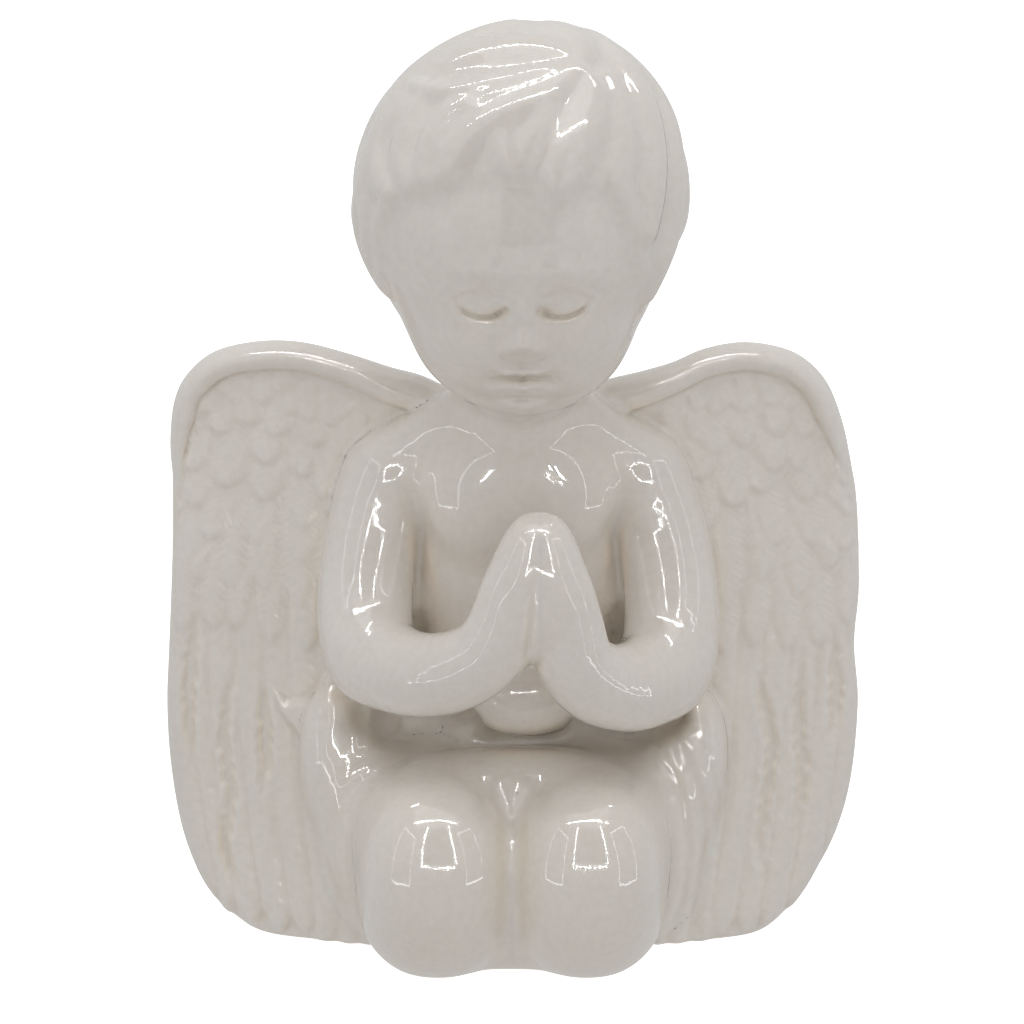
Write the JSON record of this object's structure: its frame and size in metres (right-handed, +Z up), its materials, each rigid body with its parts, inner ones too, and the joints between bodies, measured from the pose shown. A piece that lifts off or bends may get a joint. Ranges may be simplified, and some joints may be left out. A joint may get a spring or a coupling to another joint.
{
  "type": "angel figurine",
  "caption": "Kneeling winged cherub with bowed head and praying hands, standing on a flat underside.",
  "frame": {"origin": "centre of the bounding box at ground level, on the plane the figurine stands on", "axes": "+Z up, -Y the way the figure faces, +X towards the figure's left wing"},
  "size_m": [0.0963, 0.0499, 0.1249],
  "materials": {
    "glaze": "glossy",
    "slip": "matte",
    "bisque": "matte"
  },
  "bodies": {
    "root": {"head": "glaze", "torso": "glaze", "right_arm": "glaze", "left_arm": "glaze", "right_wing": "glaze", "left_wing": "glaze", "right_leg": "glaze", "left_leg": "glaze", "base_plate": "bisque", "base_joint": "slip", "neck_joint": "slip", "palm_joint": "slip", "right_shoulder_joint": "slip", "left_shoulder_joint": "slip", "right_wing_joint": "slip", "left_wing_joint": "slip", "right_hip_joint": "slip", "left_hip_joint": "slip"}
  },
  "joints": []
}
